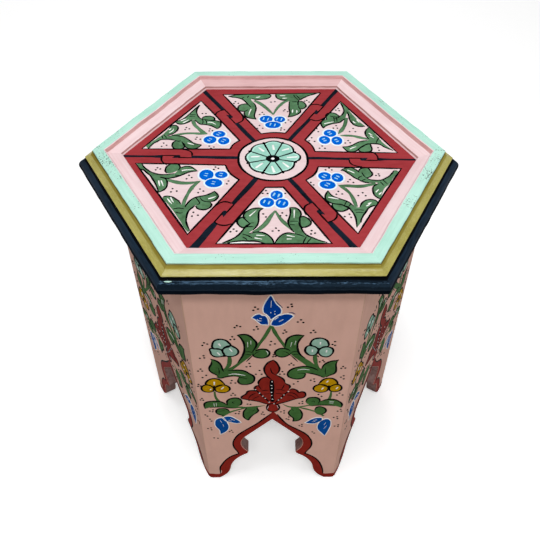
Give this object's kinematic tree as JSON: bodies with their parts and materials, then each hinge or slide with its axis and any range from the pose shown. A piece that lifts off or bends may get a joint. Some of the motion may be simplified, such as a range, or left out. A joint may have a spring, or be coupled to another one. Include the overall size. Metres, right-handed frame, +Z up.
{
  "type": "hexagonal stool",
  "caption": "Painted hexagonal wooden stool or low side table, with a framed tray top, mitred side boards, scalloped arches between sawn feet and a hollow body.",
  "frame": {"origin": "on the floor, under the centre of the hexagon", "axes": "+Z up along the stool's axis; side 1 faces -Y, and corners of the hexagon lie on +X and -X"},
  "size_m": [0.4064, 0.352, 0.45],
  "materials": {
    "painted_side": "brushed satin pink paint with painted ornament",
    "painted_nosing": "glossy dark navy paint",
    "painted_cove": "satin olive paint",
    "painted_rim": "satin mint and pink paint",
    "painted_tray": "satin red paint with painted ornament",
    "bare_wood": "sawn and planed, unpainted",
    "steel": "bright zinc"
  },
  "bodies": {
    "root": {"side_board_1": "painted_side", "side_board_2": "painted_side", "side_board_3": "painted_side", "side_board_4": "painted_side", "side_board_5": "painted_side", "side_board_6": "painted_side", "corner_block_1": "bare_wood", "corner_block_2": "bare_wood", "corner_block_3": "bare_wood", "corner_block_4": "bare_wood", "corner_block_5": "bare_wood", "corner_block_6": "bare_wood", "cleat_1": "bare_wood", "cleat_2": "bare_wood", "cleat_3": "bare_wood", "cleat_4": "bare_wood", "cleat_5": "bare_wood", "cleat_6": "bare_wood", "nosing_strip_1": "painted_nosing", "nosing_strip_2": "painted_nosing", "nosing_strip_3": "painted_nosing", "nosing_strip_4": "painted_nosing", "nosing_strip_5": "painted_nosing", "nosing_strip_6": "painted_nosing", "cove_strip_1": "painted_cove", "cove_strip_2": "painted_cove", "cove_strip_3": "painted_cove", "cove_strip_4": "painted_cove", "cove_strip_5": "painted_cove", "cove_strip_6": "painted_cove", "rim_strip_1": "painted_rim", "rim_strip_2": "painted_rim", "rim_strip_3": "painted_rim", "rim_strip_4": "painted_rim", "rim_strip_5": "painted_rim", "rim_strip_6": "painted_rim", "cleat_screws": "steel", "cleat_nails": "steel", "rim_brads": "steel", "nosing_brads": "steel", "top_board": "painted_tray"}
  },
  "joints": []
}
